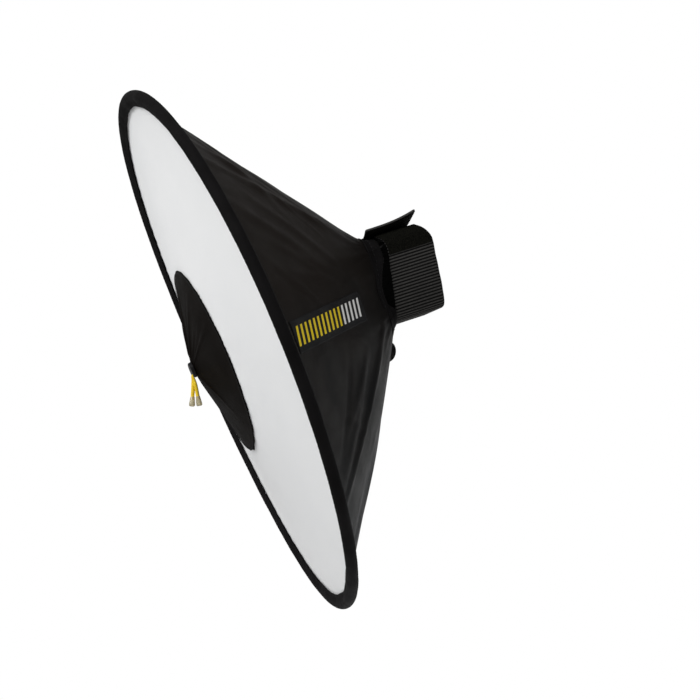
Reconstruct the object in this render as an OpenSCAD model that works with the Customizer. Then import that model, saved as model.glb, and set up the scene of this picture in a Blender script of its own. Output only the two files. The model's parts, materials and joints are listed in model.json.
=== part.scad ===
// Collapsible fabric beauty dish for a hand-held flash unit.
//
// Frame: the origin is the centre of the collar's mouth, on the axis of the flash head.
// -Y is forward (the way the light goes), +Y points back to the flash, +Z is up and +X is
// the side that carries the woven label. Millimetres.

/* [Dish] */
// Outer radius of the rim, over its binding
rim_r = 225; // [200:1:240]
// Distance along the dish axis from the collar's mouth to the plane of the rim
rim_depth = 124; // [115:1:135]
// How far the dish faces below the axis of the flash head, in degrees
droop = 5; // [3:0.5:8]
// How far the dish axis passes below the axis of the flash head, at the mouth
dish_drop = 5; // [3:0.5:7]
// Height of the point of the tent-shaped front above the plane of the rim
nose_rise = 37; // [34:0.5:40]
// Height of the front above the plane of the rim, at the edge of the black centre panel
seam_rise = 18; // [16:0.5:20]
// Radius of the black centre panel
nose_r = 78; // [70:1:84]
// Width of the binding tape that shows on the front
binding_w = 13; // [11:1:16]

/* [Hoop and struts] */
// Diameter of the spring steel hoop in the rim
hoop_d = 3.5; // [3:0.1:3.6]
// Diameter of the four spring steel struts
strut_d = 2.4; // [2:0.1:2.6]

/* [Flash collar] */
// Width of the flash head that the collar takes
flash_w = 78; // [74:1:80]
// Height of the flash head that the collar takes
flash_h = 58; // [54:1:58]
// Outer width of the collar's mouth, over its binding
collar_w = 94; // [94:1:102]
// Outer height of the collar's mouth, over its binding
collar_h = 73; // [73:1:80]
// How far the centre of the mouth hangs below the axis of the flash head
mouth_drop = 1.5; // [0:0.5:1.5]

/* [Strap] */
// Width of the elastic strap, along the flash head
strap_w = 40; // [36:1:42]
// Thickness of the elastic strap
strap_t = 2.2; // [1.8:0.1:2.4]
// Gap between the collar's mouth and the front edge of the strap
strap_gap = 8.8; // [6:0.2:12]
// Spare height inside the strap, above and below the flash head together
strap_slack = 3.6; // [2:0.2:5]
// How far the centre of the strap rides above the axis of the flash head
strap_rise = 1.8; // [0:0.1:1.8]
// How far the free flap's end is bent up off the strap, in degrees
flap_lift = 14; // [8:1:20]
// Length of the free flap of the strap, from its fold
flap_len = 54; // [46:1:56]

/* [Pull cord] */
// Diameter of the pull cord
cord_d = 2.4; // [2:0.1:2.4]
// Length of each hanging strand, from the nose to its cord end
cord_len = 18.5; // [17:0.5:24]
// How far the two strands spread fore and aft, in degrees
cord_splay = 7; // [7:0.5:9]
// How far the strands hang forward of straight down, in degrees
cord_lean = 15; // [10:1:20]

/* [Hidden] */
$fn = 96;

// Cloth, clearances and the layers of the mouth
sheet = 0.8;
clear = 0.1;
tape_t = 0.9;
sleeve_t = 1.2;

// Rim: the binding is a tape folded over the hoop, with a front leg and a rear leg
tape_skin = 1.2;
pocket_r = 3.6;
hoop_r = rim_r - pocket_r - tape_skin;
panel_r = rim_r - binding_w - 1;
panel_edge_r = hoop_r - pocket_r - 1.1;
shell_edge_r = hoop_r - pocket_r - 3.6;
shell_edge_z = -1.2;
ferrule_wall = 1;
ferrule_angle = 8;
rear_leg = 9;
rear_leg_lift = 0.9;
rear_leg_slope = atan2(rim_depth, rim_r - (collar_w + collar_h) / 4);
arc_steps = 12;

// Front: straight-sided under the centre panel, then a curve whose height follows a power
tent_power = 1.13;
tent_steps = 14;
hole_r = 4.6;

// Nose fittings, as heights above the plane of the rim
hub_r = 10;
hub_len = 12;
hub_top = nose_rise - 5.2;
spigot_r = 4;
neck_r = 3.2;
neck_base = nose_rise + 0.1;
cap_base = nose_rise + 0.7;
cap_r = 6.6;
cap_t = 2.2;
stud_r = 1.9;
pin_r = 0.7;
pin_len = 7;
pin_drop = 5;
pin_h = cap_base + 1.3;
slot_w = 5.4;
slot_top = 3.2;

// Cone: steps round each of its corners, half the angle of rim that a flat side meets, and how
// far the droop turns that chord
corner_steps = 16;
flat_angle = 3;
side_turn = atan2((shell_edge_r - collar_w / 2) * sin(droop), rim_depth);

// Mouth of the collar
mouth_corner = 12.5;
sleeve_front = -12;
shell_back = -1.2;
lining_back = -5;
lining_grow = 2.5;
frame_t = 3;
frame_back = -9;
frame_inset = 2.5;
frame_corner = 10.5;
frame_w = collar_w - 2 * frame_inset;
frame_h = collar_h - 2 * frame_inset;
window_w = flash_w + 1.4;
window_h = flash_h + 1.4;
window_corner = 7;

// Strut sockets sit on the corners of the collar frame
socket_x = window_w / 2 + 0.8;
socket_z = window_h / 2 + 0.3;
socket_r = 4;
socket_front = -24;
strut_start = -14;
strut_end_r = 7;
strut_end_h = hub_top - 5;
strut_hole_r = strut_d / 2 + 0.35;
foot_t = 2.4;
rivet_r = 1.2;
rivet_head_r = 2.1;
rivet_head_t = 0.7;
rivet_x = (window_w + frame_w) / 4;
rivet_z = [socket_z - 9, socket_z - 17];

// Strap
tab_t = 1.1;
tab_w = 56;
tab_len = 28;
tab_front = -8;
grip_t = 1;
grip_w = 48;
grip_len = 23;
strap_in_w = flash_w + 2.8;
strap_in_h = flash_h + 2 * (grip_t + tab_t) + strap_slack + 0.6;
strap_out_w = strap_in_w + 2 * strap_t;
strap_out_h = strap_in_h + 2 * strap_t;
strap_corner = 12;
tail_t = 1.8;
loop_patch_t = 0.8;
hook_patch_t = 0.5;
fold_x = -16;
fold_r = 1.1;
fold_z = strap_rise + strap_out_h / 2 + 2.6;
flap_t = 1.8;
flap_front = 3.6;
flap_flat = 30;
flap_end = flap_len - flap_flat;

// Rear loop of webbing under the collar
loop_w = 14;
loop_t = 1.4;
loop_r = 10.5;
loop_start = 16;
loop_gap = 0.4;

// Pull cord
strand_x = cord_d / 2 + 0.05;
cord_eye_r = 1.8;
bell_r = 2.4;

// Label on the side of the cone: its place along the cone, counted from the mouth, and its tilt
label_len = 137;
label_h = 24;
label_t = 0.6;
label_start = 53;
label_z = -15;
label_tilt = 4.9;
label_gap = 0.7;

// Height of the front panel above the plane of the rim at radius r
function tent(r) =
    r >= panel_r ? 0
    : r > nose_r ? seam_rise * pow((panel_r - r) / (panel_r - nose_r), tent_power)
    : seam_rise + (nose_rise - seam_rise) * (1 - r / nose_r);

// Radii from a to b, closer together towards the middle of the dish
function tent_radii(a, b) = [for (i = [0:tent_steps]) a + (b - a) * pow(i / tent_steps, 1.6)];

// Closed outline of a sheet that follows the tent from radius a to b, lifted by up
function sheet_outline(a, b, up) = concat(
    [for (r = tent_radii(a, b)) [r, tent(r) + up - sheet / 2]],
    [for (i = [tent_steps:-1:0]) let (r = tent_radii(a, b)[i]) [r, tent(r) + up + sheet / 2]]
);

// A point of the collar's frame, written as [x, up, forward] in the dish's frame
function to_dish(p) = [
    p[0],
    -p[1] * sin(droop) + (p[2] + dish_drop) * cos(droop),
    -p[1] * cos(droop) - (p[2] + dish_drop) * sin(droop),
];

// Point of a circle of radius r in the rim, lifted by z, at angle t from +X towards +Z
function rim_point(r, z, t) =
    let (up = r * sin(t), forward = rim_depth + z) [
        r * cos(t),
        -forward * cos(droop) - up * sin(droop),
        -forward * sin(droop) + up * cos(droop) - dish_drop,
    ];

// Corner number q of the mouth and step i round it, as an angle from +X towards +Z
function corner_angle(q, i) = 90 * q + 90 * i / corner_steps;

// Outline of the mouth at y, with corners of radius r about the same four centres
function mouth_ring(r, y) = [
    for (q = [0:3], i = [0:corner_steps]) let (t = corner_angle(q, i)) [
        sign(cos(90 * q + 45)) * (collar_w / 2 - mouth_corner) + r * cos(t),
        y,
        sign(sin(90 * q + 45)) * (collar_h / 2 - mouth_corner) + r * sin(t) - mouth_drop,
    ]
];

// Circle in the rim whose points match those of the mouth: each flat side of the cone meets it
// in a short chord, turned down by side_turn at the left and the right because of the droop
function rim_ring(r, z) = [
    for (q = [0:3], i = [0:corner_steps])
        let (t = corner_angle(q, i) + flat_angle * (1 - 2 * i / corner_steps))
            rim_point(r, z, t - side_turn * cos(t))
];

// Places children drawn in the dish's frame: X across, Y up, Z forward along the dish axis
module on_dish() {
    translate([0, 0, -dish_drop]) rotate([90 + droop, 0, 0]) children();
}

// The same, with Z counted from the plane of the rim
module on_rim() {
    on_dish() translate([0, 0, rim_depth]) children();
}

// Rounded rectangle, w across X and h across Z, extruded backwards from y = front
module rounded_bar(w, h, corner, front, len) {
    translate([0, front + len, 0]) rotate([90, 0, 0]) linear_extrude(len) {
        square([w - 2 * corner, h], center = true);
        square([w, h - 2 * corner], center = true);
        for (sx = [-1, 1], sz = [-1, 1]) {
            translate([sx * (w / 2 - corner), sz * (h / 2 - corner)]) circle(corner);
        }
    }
}

// Tube of rounded rectangular section, wall thickness t, from y = front
module rounded_ring(w, h, corner, t, front, len) {
    difference() {
        rounded_bar(w, h, corner, front, len);
        rounded_bar(w - 2 * t, h - 2 * t, corner - t, front - 1, len + 2);
    }
}

module rim_hoop() {
    color("silver") on_rim() rotate_extrude() translate([hoop_r, 0]) circle(hoop_d / 2, $fn = 32);
}

// Crimped sleeve that closes the hoop, at the bottom of the rim
module hoop_ferrule() {
    color("goldenrod") on_rim() rotate([0, 0, -90 - ferrule_angle / 2])
        rotate_extrude(angle = ferrule_angle) translate([hoop_r, 0]) difference() {
            circle(hoop_d / 2 + clear + ferrule_wall, $fn = 32);
            circle(hoop_d / 2 + clear, $fn = 32);
        }
}

// Binding tape: a front leg on the panel, a fold round the hoop and a rear leg on the cone
module rim_binding() {
    back = [sin(rear_leg_slope), -cos(rear_leg_slope)];
    along = [-cos(rear_leg_slope), -sin(rear_leg_slope)];
    rear_end = [shell_edge_r, shell_edge_z] + rear_leg * along + rear_leg_lift * back;
    sweep = [for (i = [0:arc_steps]) 90 - i * (180 - rear_leg_slope) / arc_steps];
    outer = [for (a = sweep) [hoop_r, 0] + (pocket_r + tape_skin) * [cos(a), sin(a)]];
    inner = [for (i = [arc_steps:-1:0]) [hoop_r, 0] + pocket_r * [cos(sweep[i]), sin(sweep[i])]];
    color([0.07, 0.07, 0.08]) on_rim() rotate_extrude() polygon(concat(
        [[panel_r + 1, sheet / 2 + clear], [panel_r + 1, sheet / 2 + clear + tape_skin]],
        outer,
        [rear_end + tape_skin * back, rear_end],
        inner
    ));
}

// White translucent front, a ring of stretched cloth
module front_diffuser() {
    color([0.93, 0.94, 0.94]) on_rim() rotate_extrude() polygon(concat(
        [[panel_edge_r, sheet / 2], [panel_edge_r, -sheet / 2]],
        [for (i = [0:2 * tent_steps + 1]) sheet_outline(panel_r, nose_r - 6, 0)[i]]
    ));
}

// Black centre panel on the front of the diffuser
module nose_panel() {
    color([0.09, 0.08, 0.08]) on_rim() rotate_extrude()
        polygon(sheet_outline(hole_r, nose_r, sheet + clear));
}

// Silver reflector behind the centre panel, which throws the light back into the cone
module deflector() {
    color([0.75, 0.76, 0.78]) on_rim() rotate_extrude()
        polygon(sheet_outline(hole_r, nose_r - 3, -sheet - clear));
}

// Thin metal eyelet on the centre panel, notched below for the cord
module nose_eyelet() {
    color("silver") on_rim() translate([0, 0, neck_base + 0.15]) difference() {
        cylinder(h = 0.35, r = 7);
        translate([0, 0, -1]) cylinder(h = 3, r = spigot_r + clear);
        translate([-slot_w / 2, -2 * cap_r, -1]) cube([slot_w, 2 * cap_r - slot_top, 3]);
    }
}

// Black button that is pressed on to the stud of the hub, with a slot for the cord below
module nose_cap() {
    color([0.05, 0.05, 0.06]) on_rim() translate([0, 0, cap_base]) difference() {
        rotate_extrude() polygon([
            [0, 0], [cap_r, 0], [cap_r, 0.7 * cap_t], [cap_r - 0.7, cap_t], [0, cap_t],
        ]);
        translate([0, 0, -1]) cylinder(h = 2.4, r = stud_r + 0.05);
        translate([-slot_w / 2, -2 * cap_r, -1]) cube([slot_w, 2 * cap_r - slot_top, cap_t + 2]);
        translate([0, -pin_drop, pin_h - cap_base]) rotate([0, 90, 0])
            cylinder(h = pin_len + 0.1, r = pin_r + 0.02, center = true, $fn = 32);
    }
}

// Pin across the slot of the button, which the cord is looped over
module cord_pin() {
    color("silver") on_rim() translate([0, -pin_drop, pin_h]) rotate([0, 90, 0])
        cylinder(h = pin_len, r = pin_r, center = true, $fn = 32);
}

// Strut number k of four: 0 and 1 are the upper ones, 2 and 3 the lower ones
function strut_sx(k) = k % 2 == 0 ? -1 : 1;
function strut_sz(k) = k < 2 ? 1 : -1;
function strut_foot(k) = to_dish([strut_sx(k) * socket_x, strut_start, strut_sz(k) * socket_z]);
function strut_foot_r(k) = norm([strut_foot(k)[0], strut_foot(k)[1]]);
function strut_run(k) = rim_depth + strut_end_h - strut_foot(k)[2];
function strut_bend(k) = 2 * atan2(strut_foot_r(k) - strut_end_r, strut_run(k));
function strut_arc_r(k) = strut_run(k) / sin(strut_bend(k));

// Places children in the plane of strut k, with X outwards, Z forward and the origin at the
// centre of the strut's arc
module on_strut(k) {
    on_dish() rotate([0, 0, atan2(strut_foot(k)[1], strut_foot(k)[0])])
        translate([strut_foot_r(k) - strut_arc_r(k), 0, strut_foot(k)[2]]) children();
}

// Spring steel rod that leaves its socket along the dish axis and curves in to the hub
module strut(k) {
    color("silver") on_strut(k) rotate([90, 0, 0]) rotate_extrude(angle = strut_bend(k), $fn = 180)
        translate([strut_arc_r(k), 0]) circle(strut_d / 2, $fn = 32);
}

// Hub behind the nose: four strut holes, a spigot through the front, a neck and a stud
module strut_hub() {
    color([0.12, 0.12, 0.13]) difference() {
        on_rim() {
            translate([0, 0, hub_top - hub_len]) cylinder(h = hub_len, r = hub_r);
            translate([0, 0, hub_top - 1]) cylinder(h = neck_base - hub_top + 1, r = spigot_r);
            translate([0, 0, neck_base - 1]) cylinder(h = cap_base - clear - neck_base + 1, r = neck_r);
            translate([0, 0, cap_base - 1]) cylinder(h = 2.2, r = stud_r);
        }
        for (k = [0:3]) {
            on_strut(k) rotate([0, -strut_bend(k), 0]) translate([strut_arc_r(k), 0, -20])
                cylinder(h = 20.4, r = strut_hole_r);
        }
    }
}

// Four corner sockets, each with a foot that is riveted to the side of the collar frame
module strut_sockets() {
    foot_back = sleeve_front - clear;
    color([0.12, 0.12, 0.13]) for (k = [0:3]) {
        difference() {
            mirror([strut_sx(k) < 0 ? 1 : 0, 0, 0]) mirror([0, 0, strut_sz(k) < 0 ? 1 : 0]) {
                difference() {
                    union() {
                        translate([socket_x, foot_back, socket_z]) rotate([90, 0, 0])
                            cylinder(h = foot_back - socket_front, r = socket_r);
                        translate([rivet_x - 2.4, foot_back - foot_t, rivet_z[1] - 3])
                            cube([4.8, foot_t, socket_z - rivet_z[1] + 3]);
                    }
                    rivet_holes(rivet_r + clear);
                }
            }
            on_strut(k) translate([strut_arc_r(k), 0, -0.4]) cylinder(h = 20, r = strut_hole_r, $fn = 32);
        }
    }
}

// Drills for the two rivets of one socket
module rivet_holes(r) {
    for (z = rivet_z) {
        translate([rivet_x, 0, z]) rotate([90, 0, 0]) cylinder(h = 40, r = r, $fn = 32);
    }
}

// Stiff plate in the mouth that carries the sockets and takes the flash head
module collar_frame() {
    color([0.14, 0.14, 0.15]) difference() {
        translate([0, 0, -mouth_drop])
            rounded_bar(frame_w, frame_h, frame_corner, frame_back - frame_t, frame_t);
        rounded_bar(window_w, window_h, window_corner, frame_back - frame_t - 1, frame_t + 2);
        for (sx = [0, 1], sz = [0, 1]) {
            mirror([sx, 0, 0]) mirror([0, 0, sz]) rivet_holes(rivet_r + clear);
        }
    }
}

module frame_rivets() {
    head_back = frame_back + 0.05 + rivet_head_t;
    head_front = sleeve_front - clear - foot_t - 0.05 - rivet_head_t;
    color("silver") for (sx = [-1, 1], sz = [-1, 1], z = rivet_z) {
        translate([sx * rivet_x, head_back, sz * z]) rotate([90, 0, 0]) {
            cylinder(h = rivet_head_t, r = rivet_head_r, $fn = 32);
            cylinder(h = head_back - head_front, r = rivet_r, $fn = 32);
            translate([0, 0, head_back - head_front - rivet_head_t])
                cylinder(h = rivet_head_t, r = rivet_head_r, $fn = 32);
        }
    }
}

// Short tube of cloth that finishes the narrow end of the cone
module collar_sleeve() {
    inset = sheet + 2 * clear;
    color([0.08, 0.08, 0.09]) translate([0, 0, -mouth_drop])
        rounded_ring(collar_w - 2 * inset, collar_h - 2 * inset,
            mouth_corner - inset, sleeve_t, sleeve_front, -sleeve_front - tape_t);
}

// Tape folded over the edge of the mouth: an inner leg and the fold at the back
module collar_binding() {
    leg_inset = sheet + sleeve_t + 3 * clear;
    color([0.06, 0.06, 0.07]) translate([0, 0, -mouth_drop]) {
        rounded_ring(collar_w - 2 * leg_inset, collar_h - 2 * leg_inset,
            mouth_corner - leg_inset, tape_t, frame_back + 1, -frame_back);
        rounded_ring(collar_w, collar_h, mouth_corner, leg_inset + tape_t,
            clear - tape_t, 2 * tape_t);
    }
}

// Rubbery strips inside the two strap tabs, which stop the flash head from slipping
module grip_pads() {
    inner = flash_h / 2 + clear;
    color([0.2, 0.2, 0.21]) for (low = [inner, -inner - grip_t]) {
        translate([-grip_w / 2, tab_front + 1, low]) cube([grip_w, grip_len, grip_t]);
    }
}

// Skin of the cone, open at both ends: four rings of points, round the mouth and round the rim
// on its outside and on its inside, joined by triangles
module cone_skin(grow, back_y, front_r, front_z) {
    count = 4 * (corner_steps + 1);
    rings = concat(
        mouth_ring(mouth_corner + grow, back_y),
        rim_ring(front_r, front_z),
        rim_ring(front_r - sheet, front_z),
        mouth_ring(mouth_corner + grow - sheet, back_y)
    );
    faces = [
        for (j = [0:3], i = [0:count - 1])
            let (a = j * count, b = (j + 1) % 4 * count, next = (i + 1) % count)
                each [[a + i, b + i, b + next], [a + i, b + next, a + next]]
    ];
    polyhedron(rings, faces);
}

// Black outer skin of the cone
module cone_shell() {
    color([0.07, 0.07, 0.08]) cone_skin(0, shell_back, shell_edge_r, shell_edge_z);
}

// Silver inner skin of the cone
module cone_lining() {
    color([0.78, 0.79, 0.8])
        cone_skin(lining_grow, lining_back, shell_edge_r - 3.4, 2 * shell_edge_z);
}

// Woven label, flat on the side of the cone
module label_patch() {
    rim_side = rim_point(shell_edge_r, shell_edge_z, -side_turn);
    mouth_side = [collar_w / 2, shell_back];
    lean = atan2(rim_side[0] - mouth_side[0], mouth_side[1] - rim_side[1]);
    color([0.05, 0.05, 0.05]) translate([mouth_side[0], mouth_side[1], 0]) rotate([0, 0, lean])
        translate([label_gap, -label_start, label_z]) rotate([label_tilt, 0, 0])
            translate([0, -label_len, -label_h / 2]) cube([label_t, label_len, label_h]);
}

// Ribbed elastic band round the flash head
module strap_band() {
    color([0.08, 0.08, 0.08]) translate([0, 0, strap_rise])
        rounded_ring(strap_out_w, strap_out_h, strap_corner, strap_t, strap_gap, strap_w);
}

// Two cloth tabs, above and below, that join the strap to the collar
module strap_tabs() {
    inner = flash_h / 2 + grip_t + 2 * clear;
    color([0.08, 0.08, 0.09]) for (low = [inner, -inner - tab_t]) {
        translate([-tab_w / 2, tab_front, low]) cube([tab_w, tab_len, tab_t]);
    }
}

// Layer that lies on the band, from across the top to part-way down the side sx
module strap_layer(t, sx, from_x, down_to) {
    translate([0, 0, strap_rise]) intersection() {
        rounded_ring(strap_out_w + 2 * (t + clear), strap_out_h + 2 * (t + clear),
            strap_corner + t + clear, t, strap_gap, strap_w);
        mirror([sx < 0 ? 1 : 0, 0, 0]) translate([from_x, 0, down_to]) cube([100, 100, 100]);
    }
}

// Fixed part of the strap's tail, sewn down on the far side
module strap_tail() {
    color([0.08, 0.08, 0.08]) strap_layer(tail_t, -1, -fold_x + 1.7, 2);
}

// Soft loop patch on the near shoulder of the strap
module strap_loop_patch() {
    color([0.04, 0.04, 0.04]) strap_layer(loop_patch_t, 1, 14, 17);
}

// Places children at the front end of the flap's fold, with X along the flap
module on_flap() {
    translate([fold_x, flap_front, fold_z]) children();
}

// Places children where the flap bends, with X along its lifted end
module on_flap_end() {
    on_flap() translate([flap_flat, 0, 0]) rotate([0, -flap_lift, 0]) children();
}

// Free end of the strap, which lies on the strap and then bends up. It peels up about its fold
module strap_flap() {
    color([0.1, 0.1, 0.1]) {
        on_flap() {
            rotate([-90, 0, 0]) cylinder(h = strap_w, r = fold_r, $fn = 32);
            translate([0, 0, -flap_t / 2]) cube([flap_flat, strap_w, flap_t]);
        }
        on_flap_end() {
            rotate([-90, 0, 0]) cylinder(h = strap_w, r = flap_t / 2, $fn = 32);
            translate([0, 0, -flap_t / 2]) cube([flap_end, strap_w, flap_t]);
        }
    }
}

module flap_hook_patch() {
    color([0.03, 0.03, 0.03]) on_flap_end()
        translate([1, 2, -flap_t / 2 - clear / 2 - hook_patch_t])
            cube([flap_end - 2, strap_w - 4, hook_patch_t]);
}

// Loop of webbing sewn under the mouth, standing on a strip that lies along the cone
module rear_loop() {
    rim_low = rim_point(shell_edge_r, shell_edge_z, -90);
    mouth_low = [shell_back, -collar_h / 2 - mouth_drop];
    slope = atan2(rim_low[2] - mouth_low[1], rim_low[1] - mouth_low[0]);
    color([0.06, 0.06, 0.06]) translate([-loop_w / 2, mouth_low[0], mouth_low[1]])
        rotate([slope, 0, 0]) rotate([90, 0, 90]) linear_extrude(loop_w)
            translate([loop_start, loop_gap]) {
                difference() {
                    circle(loop_r, $fn = 64);
                    circle(loop_r - loop_t, $fn = 64);
                    translate([-2 * loop_r, -2 * loop_r]) square([4 * loop_r, 2 * loop_r]);
                }
                translate([-loop_r - 2, 0]) square([2 * loop_r + 4, loop_t / 2]);
            }
}

// Places children at the pin in the button, turned so that -Z is the way the strands hang
module on_cord() {
    pivot_up = -pin_drop;
    pivot_forward = rim_depth + pin_h;
    translate([
        0,
        -pivot_forward * cos(droop) - pivot_up * sin(droop),
        -pivot_forward * sin(droop) + pivot_up * cos(droop) - dish_drop,
    ]) rotate([-cord_lean, 0, 0]) children();
}

// Places children at the end of each strand, with -Z along the strand
module on_strand_ends() {
    for (side = [-1, 1]) {
        rotate([side * cord_splay, 0, 0]) translate([side * strand_x, 0, -cord_len]) children();
    }
}

// Yellow cord: a loop over the pin and two hanging strands
module pull_cord() {
    color("gold") on_cord() difference() {
        union() {
            rotate([0, 90, 0]) cylinder(h = 2 * strand_x + cord_d, r = cord_eye_r, center = true, $fn = 48);
            on_strand_ends() cylinder(h = cord_len - pin_r - 0.5, r = cord_d / 2, $fn = 32);
        }
        rotate([0, 90, 0]) cylinder(h = 20, r = pin_r + 0.06, center = true, $fn = 32);
    }
}

// Bell-shaped ends that cover the cut ends of the cord
module cord_ends() {
    bore = cord_d / 2 + 0.05;
    color("khaki") on_cord() on_strand_ends() rotate_extrude($fn = 48) polygon([
        [bore, 2], [bore + 0.4, 2], [bore + 0.7, 0], [bell_r, -3.4], [bell_r, -5], [bell_r - 0.7, -5.8],
        [0, -5.8], [0, -0.1], [bore, -0.1],
    ]);
}

rim_hoop();
hoop_ferrule();
rim_binding();
front_diffuser();
nose_panel();
deflector();
nose_eyelet();
nose_cap();
cord_pin();
strut_hub();
strut(0);  // strut_upper_left
strut(1);  // strut_upper_right
strut(2);  // strut_lower_left
strut(3);  // strut_lower_right
strut_sockets();
collar_frame();
frame_rivets();
collar_sleeve();
collar_binding();
grip_pads();
cone_shell();
cone_lining();
label_patch();
strap_band();
strap_tabs();
strap_tail();
strap_loop_patch();
strap_flap();
flap_hook_patch();
rear_loop();
pull_cord();
cord_ends();
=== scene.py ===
import json
import math

import bmesh
import bpy
import numpy as np
from mathutils import Matrix, Vector
from mathutils.bvhtree import BVHTree


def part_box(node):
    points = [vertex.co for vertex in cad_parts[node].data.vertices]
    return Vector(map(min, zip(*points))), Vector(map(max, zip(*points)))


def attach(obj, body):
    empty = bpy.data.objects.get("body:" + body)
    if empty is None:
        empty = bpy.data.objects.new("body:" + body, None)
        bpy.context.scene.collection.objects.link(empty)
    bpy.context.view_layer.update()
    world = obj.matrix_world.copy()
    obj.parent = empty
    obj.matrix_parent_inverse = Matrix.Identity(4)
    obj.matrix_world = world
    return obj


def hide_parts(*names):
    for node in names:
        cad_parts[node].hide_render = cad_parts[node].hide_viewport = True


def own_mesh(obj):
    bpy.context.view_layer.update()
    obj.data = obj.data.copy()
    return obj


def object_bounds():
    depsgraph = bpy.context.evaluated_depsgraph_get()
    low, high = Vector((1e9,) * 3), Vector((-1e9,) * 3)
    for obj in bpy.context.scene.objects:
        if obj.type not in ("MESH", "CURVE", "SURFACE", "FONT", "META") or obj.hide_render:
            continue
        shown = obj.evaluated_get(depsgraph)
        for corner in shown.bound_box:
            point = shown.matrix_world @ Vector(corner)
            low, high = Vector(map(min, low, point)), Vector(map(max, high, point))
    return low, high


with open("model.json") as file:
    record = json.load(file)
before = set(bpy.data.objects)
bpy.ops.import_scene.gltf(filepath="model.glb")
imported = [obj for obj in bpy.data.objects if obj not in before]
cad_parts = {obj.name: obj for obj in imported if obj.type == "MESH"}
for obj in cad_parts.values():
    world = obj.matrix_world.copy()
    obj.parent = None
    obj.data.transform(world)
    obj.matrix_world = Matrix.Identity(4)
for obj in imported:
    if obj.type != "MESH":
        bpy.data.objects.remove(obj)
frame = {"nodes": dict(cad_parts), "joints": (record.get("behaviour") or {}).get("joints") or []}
CAD_LOW, CAD_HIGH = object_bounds()
MM = 0.001


# ---- the frame

def box(node):
    low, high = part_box(node)
    return np.array(low), np.array(high)


def joint(name):
    return [j for j in frame["joints"] if j["name"] == name][0]


def pivot(name):
    """Centre of a hinge."""
    return np.array(joint(name)["pos_m"], float)


def points_of(node):
    """Corners of a CAD node's mesh."""
    return np.array([v.co for v in frame["nodes"][node].data.vertices])


# The dish's axis points back along its collapse, and droops a little from the flash axis.
BACK = np.array(joint("dish_collapse")["axis"], float)
BACK /= np.linalg.norm(BACK)
FORWARD = -BACK
ACROSS = np.array([1.0, 0.0, 0.0])
UP = np.cross(ACROSS, BACK)
DROOP = math.asin(BACK[2])

# Rim: wire of the hoop, pocket round it, tape and cloth thickness, and the tent of the front.
HOOP_LOW, HOOP_HIGH = box("rim_hoop")
RIM = (HOOP_LOW + HOOP_HIGH) / 2
WIRE_R = 1.75 * MM
HOOP_R = (HOOP_HIGH - HOOP_LOW)[0] / 2 - WIRE_R
POCKET_R = 3.6 * MM
TAPE = 1.2 * MM
CLOTH = 0.8 * MM
PANEL_R = HOOP_R - 9.2 * MM
NOSE_R = (box("nose_panel")[1] - box("nose_panel")[0])[0] / 2
HUB_R = 4.6 * MM
RISE = 37 * MM
SEAM_RISE = 18 * MM
TENT_POWER = 1.13

# Bow of the hoop out of its plane, and the angle at which it is furthest forward.
TWIST = 2.7 * MM
TWIST_AT = math.radians(103)

# Cone: where its skin meets the rim and the mouth.
SHELL_R = (box("cone_shell")[1] - box("cone_shell")[0])[0] / 2
SHELL_Z = -1.2 * MM
SHELL_BACK = -1.2 * MM
SHELL_SLOPE = math.atan2(0.124, 0.18325)
SHELL_ROWS = 150

# Mouth of the collar, the points on its outline, and the cuff's reach behind it.
MOUTH_LOW, MOUTH_HIGH = box("collar_binding")
MOUTH_W, _, MOUTH_H = MOUTH_HIGH - MOUTH_LOW
MOUTH_Z = (MOUTH_HIGH + MOUTH_LOW)[2] / 2
MOUTH_CORNER = 12.5 * MM
CORNER_STEPS = 84
FLAT_STEPS = 26
CUFF_TOP = 7 * MM
CUFF_SCOOP = -2.9 * MM
CUFF_BOTTOM = 3.2 * MM
CUFF_GATHER = 4.2 * MM
CUFF_ROLL = 1.5 * MM

# Strap: how far its edges lean with height, its ribs, the flat part of its free end and its patch.
BAND_LOW, BAND_HIGH = box("strap_band")
BAND_Z = (BAND_HIGH + BAND_LOW)[2] / 2
BAND_CORNER = 12 * MM
FRONT_LEAN, BACK_LEAN = 0.19, 0.12
FRONT_SHIFT, BACK_SHIFT = 0.4 * MM, 0.6 * MM
RIB_PITCH = 2.5 * MM
RIB_DEPTH = 0.65 * MM
FLAP_FLAT = 30 * MM
PATCH_END = 18.8 * MM


def dish(x, up, z):
    """Points given across, up and forward of the centre of the rim."""
    x, up, z = np.broadcast_arrays(x, up, z)
    return RIM + x[..., None] * ACROSS + up[..., None] * UP + z[..., None] * FORWARD


def twist(r, a):
    """Forward bow of the spring hoop, which spreads into the cloth next to it."""
    return TWIST * np.cos(2 * (a - TWIST_AT)) * (r / HOOP_R) ** 2


def polar(r, a, z):
    return dish(r * np.cos(a), r * np.sin(a), z + twist(r, a))


def tent(r):
    """Height of the front: straight-sided under the centre panel, then a shallow curve."""
    outer = SEAM_RISE * (np.clip(PANEL_R - r, 0, None) / (PANEL_R - NOSE_R)) ** TENT_POWER
    inner = SEAM_RISE + (RISE - SEAM_RISE) * (1 - r / NOSE_R)
    corner = 5 * MM
    share = ramp((r - NOSE_R + corner) / (2 * corner))
    return inner * (1 - share) + outer * share


def waves(a, count, seed, low=3, high=12):
    """Smooth random profile round a circle, about -1 to 1."""
    rng = np.random.RandomState(seed)
    total = np.zeros_like(a)
    for _ in range(count):
        total = total + rng.uniform(0.4, 1) * np.cos(rng.randint(low, high) * a + rng.uniform(0, 6.3))
    return total / math.sqrt(count)


# ---- meshes

def circle(count):
    return np.linspace(0, 2 * np.pi, count, endpoint=False)


def ramp(x):
    """x held between 0 and 1."""
    return np.clip(x, 0, 1)


def bell(x, width):
    """1 where x is 0, fading out within about two widths."""
    return np.exp(-(x / width) ** 2)


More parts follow.
